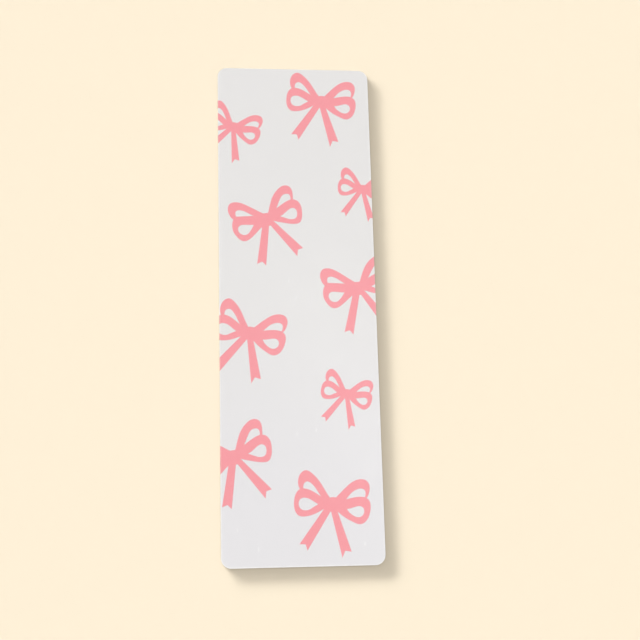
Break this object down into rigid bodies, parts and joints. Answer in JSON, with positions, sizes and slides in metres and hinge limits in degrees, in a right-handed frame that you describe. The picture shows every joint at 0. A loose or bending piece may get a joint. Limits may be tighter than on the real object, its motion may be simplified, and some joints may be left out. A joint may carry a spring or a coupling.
{
  "type": "bookmark",
  "caption": "Flat laminated paper bookmark with rounded corners and a scattered print of pink ribbon bows on its front face.",
  "frame": {"origin": "middle of the back face, which lies on the ground plane", "axes": "+X across the width, +Y along the length towards the picture's upper end, +Z out of the printed front face"},
  "size_m": [0.0508, 0.165, 0.0007],
  "materials": {
    "board": "matte",
    "ink": "satin",
    "adhesive": "gloss",
    "film": "gloss"
  },
  "bodies": {
    "root": {"back_film": "film", "back_adhesive": "adhesive", "card_core": "board", "front_adhesive": "adhesive", "front_film": "film", "bow_print_1": "ink", "bow_print_2": "ink", "bow_print_3": "ink", "bow_print_4": "ink", "bow_print_5": "ink", "bow_print_6": "ink", "bow_print_7": "ink", "bow_print_8": "ink", "bow_print_9": "ink"}
  },
  "joints": []
}
